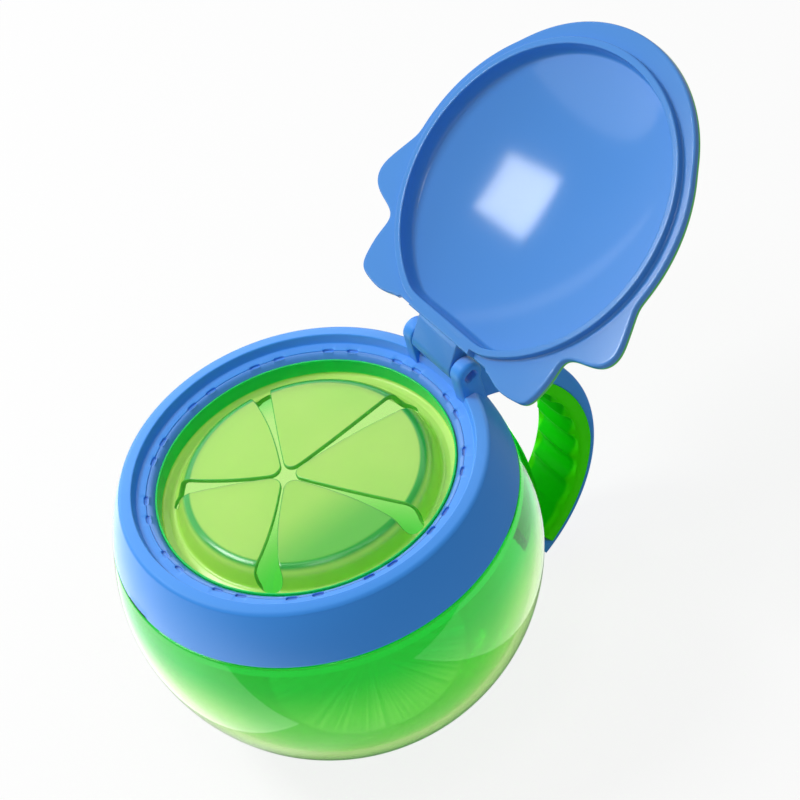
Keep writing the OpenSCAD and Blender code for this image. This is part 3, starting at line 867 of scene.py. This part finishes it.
def make_lid_shell():
    """Rings from the middle of the dome's inside, over its wall, round the lip, out
    under the flange, round its edge and back over the hidden outside. Between the ears
    the flange stands as high as the lip, as the barrel's plate."""
    edge = lid_reach()
    aside = np.abs(edge * LID_WAY[:, 0])
    plate = (LID_WAY[:, 1] > 0.5) * (1 - smooth(aside, 11.0, 11.5))
    level = FLANGE_Z + (LIP_Z - FLANGE_Z) * plate
    wall_foot = lip_reach(WALL_FOOT)
    rings = dome_rings(wall_foot, np.linspace(0, 1, 34) ** 0.9)
    foot_z, top = dome(wall_foot), LIP_Z + LIP_SOFT
    rings += [(lip_reach(WALL_FOOT - (WALL_FOOT - WALL_TOP) * math.sin(t)),
               foot_z - (foot_z - top) * (1 - math.cos(t))) for t in quarter(8)[1:]]
    turn = quarter(4)
    rings += [(lip_reach(WALL_TOP - LIP_SOFT * (1 - math.cos(t))), top - LIP_SOFT * math.sin(t))
              for t in turn[1:]]
    rings += [(lip_reach(inset), LIP_Z) for inset in (WALL_TOP - LIP_SOFT - 0.08, LIP_SOFT + 0.08)]
    beside = 1 - plate
    rings += [(lip_reach(LIP_SOFT * (1 - math.sin(t))), LIP_Z + LIP_SOFT * beside * (1 - math.cos(t)))
              for t in turn]
    rings += [(lip_reach(-0.02), level - 0.3 * beside), (lip_reach(-0.08), level - 0.1 * beside)]
    soft = 0.5
    start, rim = lip_reach(-0.3), drawn_in(edge, soft)
    rings += [(start + (rim - start) * f, level) for f in (0, 0.04, 0.35, 0.65, 0.96)]
    rings += [(drawn_in(edge, soft * (1 - math.sin(t))), level + soft * (1 - math.cos(t))) for t in turn]
    hidden, back_z = lip_reach(1.0), FLANGE_Z + SHELL_T
    rings += [(edge, back_z), (hidden + 0.6, back_z)]
    return lid_rings(rings + dome_rings(hidden, np.linspace(1, 0, 14), SHELL_T, back_z))


def make_barrel():
    """The hinge barrel and its plate: one outline seen along the hinge, round the pin
    and flowing into the flange, drawn across the gap between the ears with eased ends."""
    lug = arc((0, 0), EAR_R, -63, 118, 26)
    under = LIP_Z - 0.01
    tail = rounded([lug[-1], [-2.4, 0.3], [-4.6, -2.2], [-6.1, -2.7], [-6.1, under], [-4.2, under], lug[0]],
                   [0, 1.6, 1.2, 0, 0, 6.0, 0], 8)
    line = np.concatenate([lug, tail[1:-1]])
    out = np.roll(line, -1, 0) - np.roll(line, 1, 0)
    normal = np.stack([out[:, 1], -out[:, 0]], -1)
    normal /= np.linalg.norm(normal, axis=1)[:, None]
    middle = 0 * line + [-1.0, -1.2]
    half, soft = 7.0, 0.35
    eased = [(half - soft * (1 - math.cos(t)), line - soft * (1 - math.sin(t)) * normal) for t in quarter(4)]
    steps = [(-half, middle)] + [(-x, ring) for x, ring in eased] + eased[::-1] + [(half, middle)]
    sheet = np.stack([np.concatenate([np.full((len(line), 1), x), ring], 1) for x, ring in steps])
    return grid(open_lid(sheet))


piece("lid_inner", [make_lid_shell(), make_barrel()], "lid", lid_blue, ["lid_shell"])


def make_lid_cover():
    """The outer skin: rings from the middle of its underside to the flange, round the
    thin edge, and back over the flange and the dome."""
    edge = lid_reach(notch=BACK_IN + 1.0, half=17.5)
    base, soft, over = FLANGE_Z + SHELL_T, 0.45, 2.4
    top = base + COVER_T
    rings = dome_rings(lip_reach(-0.4), np.linspace(0, 1, 12), SHELL_T + 0.1, base)
    rings += [(edge - 0.1, base), (edge, base + 0.1)]
    rings += [(drawn_in(edge, soft * (1 - math.cos(t))), top - soft + soft * math.sin(t)) for t in quarter(4)]
    rim = drawn_in(edge, soft)
    foot = np.minimum(lip_reach(-1.6, chord=3.0, bend=0.8), rim - 0.3)
    crown = 0.965 * foot
    shoulder = np.maximum(dome(crown, over), top)
    rings += [(foot + (rim - foot) * f, top) for f in (0.6, 0.25, 0)]
    rings += [(foot * 0.985, top + (shoulder - top) * 0.6)]
    return lid_rings(rings + dome_rings(crown, np.linspace(1, 0, 26), over, top))


piece("lid_outer", [make_lid_cover()], "lid", cover_green, ["lid_cover"])

# Hinge pin


def make_pin():
    """A short round bar along the hinge with eased ends."""
    half, pin_r = 8.9, 1.2
    profile = rounded([[0, -half], [pin_r, -half], [pin_r, half], [0, half]], [0, 0.2, 0.2, 0])
    a = np.radians(all_round(48))[None]
    r, x = profile[:, :1], profile[:, 1:]
    points = np.stack([x + 0 * a, HINGE_Y + r * np.cos(a), HINGE_Z + r * np.sin(a)], -1)
    return grid(points)


piece("pin_bar", [make_pin()], "collar", pin_blue, ["hinge_pin"])

# Handle


def handle_reach(degrees, centre, radius):
    """Distance from the handle's centre to a circle round another centre, for each angle."""
    return reach_circle(polar(1.0, degrees), centre - HANDLE_C, radius)


def band_reach(degrees):
    """The arc where the grip lies on the band, always inside the band's outer side."""
    return np.minimum(handle_reach(degrees, BAND_C, BAND_R), HANDLE_R - 1.5)


def handle_sheet(degrees, reach, x):
    """Points across the handle from distances to its centre and places along X."""
    way = polar(1.0, degrees)
    y = HANDLE_C[0] + reach * way[:, None, 0]
    z = HANDLE_C[1] + reach * way[:, None, 1]
    return np.stack([np.broadcast_to(x, y.shape), y, z], -1)


def with_ends(points):
    """The same rows with both ends closed at the middle of the end row."""
    low, high = (row.mean(0) + 0 * row for row in (points[0], points[-1]))
    return np.concatenate([low[None], points, high[None]])


def bar_section(half, soft, parts=5):
    """A rounded bar's section as (x, 1 on the outer side and 0 on the inner, shift
    outwards): a quarter turn for each corner, and the straight sides between them."""
    rise, fall = np.sin(quarter(parts)), np.cos(quarter(parts))
    xs, which, shift = [], [], []
    corners = ((1, 1, rise, fall), (1, 0, fall, rise), (-1, 0, rise, fall), (-1, 1, fall, rise))
    for sign, side, c, s in corners:
        xs.append(sign * (half - soft + soft * c))
        which.append(np.full(parts + 1, side))
        shift.append((1 if side else -1) * soft * (s - 1))
    return np.concatenate(xs), np.concatenate(which), np.concatenate(shift)


def make_spine():
    """The blue band: its outer side is one arc, its inner side the arc that the grip
    lies on, then the free strap's, up to the collar. The lower end closes round."""
    low, top, split = -63.0, 80.0, 38.0
    degrees = np.linspace(low, top, 150)
    strap = handle_reach(degrees, BAND_C, STRAP_R)
    band = band_reach(degrees)
    inner = band + (strap - band) * smooth(degrees, split - 1.2, split + 1.2)
    end = np.clip((degrees - low) / 4.6, 0, 1)
    inner = inner + (HANDLE_R - 6.0 - inner) * (1 - smooth(end, 0.7, 1.0))
    x, which, shift = bar_section(HANDLE_W / 2, 0.7)
    reach = np.where(which[None] > 0, HANDLE_R, inner[:, None]) + shift[None]
    points = handle_sheet(degrees, reach, x[None])
    inside_collar = 41.5
    points[..., 1] = np.maximum(points[..., 1], inside_collar)
    return grid(with_ends(points))


piece("handle_band", [make_spine()], "collar", collar_blue, ["handle_spine"])

# The finger ridges of the grip: the first one's angle, their step and their height
RIB_FIRST, RIB_STEP, RIB_H = 28.0, 12.0, 2.0


def make_grip():
    """The soft inside of the handle: smooth sides that stand out a little, and an inner
    face that is convex across and waved along, strongest at the top."""
    low, top = -58.0, 38.0
    degrees = np.linspace(low, top, 260)
    outer = band_reach(degrees) + 0.15
    inner = handle_reach(degrees, GRIP_C, GRIP_R)
    half, soft = HANDLE_W / 2 + 0.02, 0.9
    across = np.linspace(-1, 1, 25)
    bow = 0.75 * (1 - np.abs(across) ** 2.4)
    ridge = 1 - np.sqrt(np.sin(np.pi * (degrees - RIB_FIRST) / RIB_STEP) ** 2 + 0.02)
    wave = (ridge - 0.4) * (0.25 + 0.75 * smooth(degrees, -50, -26)) * (1 - smooth(degrees, 30, 35))
    fade = 1 - 0.7 * smooth(np.abs(across), 0.8, 1.0)
    face = inner[:, None] - bow[None] - RIB_H * wave[:, None] * fade[None]
    turn = quarter(4)[:-1]
    corner_x = half - soft * (1 - np.cos(turn))
    columns_x = np.concatenate([[-half] * 3, -corner_x, across * (half - soft), corner_x[::-1], [half] * 3])
    side = outer[:, None] + (inner + soft - outer)[:, None] * (np.arange(3) / 3)[None]
    corner = inner[:, None] + soft * (1 - np.sin(turn))[None]
    reach = np.concatenate([side, corner, face, corner[:, ::-1], side[:, ::-1]], 1)
    whole = 1 - 0.85 * smooth(degrees, top - 1.5, top)
    reach = outer[:, None] + (reach - outer[:, None]) * whole[:, None]
    return grid(with_ends(handle_sheet(degrees, reach, columns_x[None])))


piece("handle_ribs", [make_grip()], "collar", grip_green, ["handle_grip"])

# Stage, light and camera


def camera_rays(tree):
    """1 where the camera looks, directly or through clear plastic, and 0 elsewhere;
    also the Light Path node that it comes from."""
    path = add(tree, "LightPath")
    both = add(tree, "Math", operation="ADD")
    link(
        tree,
        (path.outputs["Is Camera Ray"], both.inputs[0]),
        (path.outputs["Is Transmission Ray"], both.inputs[1]),
    )
    return both.outputs[0], path


def make_floor():
    """A wide pale sheet at the height of the base. Seen by the camera it is close to
    white, and it still takes the object's shadow."""
    size = 3.0
    corners = [(x * size, y * size, 0) for x, y in ((-1, -1), (1, -1), (1, 1), (-1, 1))]
    mesh = bpy.data.meshes.new("floor")
    mesh.from_pydata(corners, [], [(0, 1, 2, 3)])
    thing = new_object("floor", mesh)
    made = bpy.data.materials.new("floor_paper")
    made.use_nodes = True
    tree = made.node_tree
    base = tree.nodes["Principled BSDF"]
    base.inputs["Base Color"].default_value = (0.95, 0.95, 0.95, 1)
    base.inputs["Roughness"].default_value = 0.9
    glow = add(tree, "Emission", Strength=1.0, Color=(1, 1, 1, 1))
    seen, _ = camera_rays(tree)
    most = add(tree, "Math", operation="MULTIPLY", use_clamp=True)
    most.inputs[1].default_value = 0.86
    mix = add(tree, "MixShader")
    link(
        tree,
        (seen, most.inputs[0]),
        (most.outputs[0], mix.inputs[0]),
        (base.outputs[0], mix.inputs[1]),
        (glow.outputs[0], mix.inputs[2]),
        (mix.outputs[0], tree.nodes["Material Output"].inputs["Surface"]),
    )
    mesh.materials.append(made)


make_floor()


def make_world():
    """Even grey light from all round; the camera, glossy and see-through rays get white."""
    world = bpy.data.worlds.new("studio")
    bpy.context.scene.world = world
    world.use_nodes = True
    tree = world.node_tree
    back = tree.nodes["Background"]
    back.inputs["Color"].default_value = (1, 1, 1, 1)
    seen, path = camera_rays(tree)
    bright = add(tree, "Math", operation="ADD", use_clamp=True)
    level = add(tree, "MapRange")
    level.inputs["To Min"].default_value = 0.3
    level.inputs["To Max"].default_value = 1.0
    link(
        tree,
        (seen, bright.inputs[0]),
        (path.outputs["Is Glossy Ray"], bright.inputs[1]),
        (bright.outputs[0], level.inputs["Value"]),
        (level.outputs[0], back.inputs["Strength"]),
    )


make_world()


def area_light(name, place, direction, size, watts, roll=0.0, only_gloss=False):
    """A soft rectangular light that faces a direction, turned by an angle about it. As
    a card for reflections alone it lights nothing and casts no shadow."""
    lamp = bpy.data.lights.new(name, "AREA")
    lamp.shape = "RECTANGLE"
    lamp.size, lamp.size_y = size
    lamp.energy = watts
    thing = new_object(name, lamp)
    z = -np.array(direction, float)
    z /= np.linalg.norm(z)
    x = np.cross((0, 0, 1), z) if abs(z[2]) < 0.99 else np.array([1.0, 0, 0])
    x /= np.linalg.norm(x)
    y = np.cross(z, x)
    c, w = math.cos(math.radians(roll)), math.sin(math.radians(roll))
    axes = np.stack([c * x + w * y, c * y - w * x, z], 1)
    thing.matrix_world = Matrix([(*row, p) for row, p in zip(axes, place)] + [(0, 0, 0, 1)])
    if only_gloss:
        thing.visible_diffuse = False
        thing.visible_transmission = False
        lamp.use_shadow = False
    return thing


def only_for(thing, names):
    """Lets a light reach some pieces only."""
    chosen = bpy.data.collections.new("reached_by_" + thing.name)
    for name in names:
        chosen.objects.link(bpy.data.objects[name])
    thing.light_linking.receiver_collection = chosen


def card(name, place, direction, size, level, roll, seen_in, shape="RECTANGLE"):
    """A light seen only as a reflection, given by how bright it looks: white is 1. It
    is seen in some pieces only, so that each sort of plastic gets its own level."""
    watts = level * math.pi * size[0] * size[1] * (math.pi / 4 if shape == "ELLIPSE" else 1)
    thing = area_light(name, place, direction, size, watts, roll, only_gloss=True)
    thing.data.shape = shape
    only_for(thing, seen_in)


def slender_card(name, start, end, width, aside, level):
    """A long oval card whose ends lie in two directions from the lid's middle, shifted
    square to its length. It is seen in the lid's hollow only."""
    middle, away = np.array([0.0, 0.07, 0.097]), 0.6
    start, end = np.array(start), np.array(end)
    way = (start + end) / np.linalg.norm(start + end)
    start, end = start / (start @ way), end / (end @ way)
    across = np.cross((0, 0, 1), way)
    across /= np.linalg.norm(across)
    along = (end - start) / np.linalg.norm(end - start)
    roll = math.degrees(math.atan2(along @ np.cross(way, across), along @ across))
    place = middle + away * (way + aside * np.cross(way, along))
    size = (away * np.linalg.norm(end - start), width)
    card("slender_" + name, place, -way, size, level, roll, ["lid_inner"], "ELLIPSE")


def make_lights():
    """The key is a panel high on the left; a small panel overhead and a wide one on the
    far side fill in. The cards are seen only as reflections: on the floor to the left
    and right, far behind for what faces up, overhead for the fold of the membrane, and
    two slender ones for the pale crescents in the lid's hollow."""
    area_light("key", (-0.303, -0.262, 0.636), (0.43, 0.47, -0.765), (0.23, 0.185), 2.65, roll=41)
    top_way = np.array([0.13, -0.14, 0.98])
    area_light("top", top_way * 0.8, -top_way, (0.16, 0.16), 0.55, roll=20)
    far_way = np.array([-0.9, -0.1, 0.42])
    far = area_light("far_side", far_way, -far_way, (0.6, 0.6), 2.9)
    far.visible_glossy = far.visible_transmission = False
    blue = ["collar_body", "retainer_ring", "handle_band"]
    soft = ["membrane_ring"] + ["petal_%d" % (k + 1) for k in range(FLAP_COUNT)]
    for name, x, level, pieces in (("collar", -0.11, 4.0, blue), ("bowl", -0.165, 1.2, ["bowl_shell"])):
        card("left_%s" % name, (x, -0.24, 0.002), (0, 0, 1), (0.36, 0.42), level, 8, pieces)
    back_way = np.array([-0.75, 0.33, 0.57])
    for name, level, pieces in (("collar", 4.2, blue), ("soft", 1.3, soft)):
        card("back_%s" % name, back_way, -back_way, (2.2, 1.1), level, 0, pieces)
    card("right", (0.085, 0.125, 0.002), (0, 0, 1), (0.2, 0.2), 1.0, 27, ["bowl_shell"])
    over_way = np.array([-0.22, -0.13, 0.97])
    card("over", 0.6 * over_way, -over_way, (0.07, 0.96), 4.0, 8, soft)
    slender_card("front", (-0.08, -0.84, 0.56), (-0.84, -0.50, 0.22), 0.30, 0.19, 1.8)
    slender_card("side", (-0.94, -0.33, 0.14), (-0.54, 0.08, 0.84), 0.04, 0.0, 1.3)


make_lights()


def make_camera():
    """The photograph's view, as worked out from the round rims and the lid."""
    right = (0.57538775, 0.79237294, -0.20266734)
    down = (0.51348151, -0.54284744, -0.66457009)
    look = (-0.6366048, 0.27831956, -0.71921662)
    place = (0.47067, -0.17934, 0.59913)
    lens = bpy.data.cameras.new("camera")
    lens.sensor_width = 36
    lens.lens = 153.0
    lens.clip_start = 0.01
    thing = new_object("camera", lens)
    rows = [(r, -d, -l, p) for r, d, l, p in zip(right, down, look, place)]
    thing.matrix_world = Matrix(rows + [(0, 0, 0, 1)])
    bpy.context.scene.camera = thing


make_camera()
bpy.context.scene.view_settings.view_transform = "Standard"
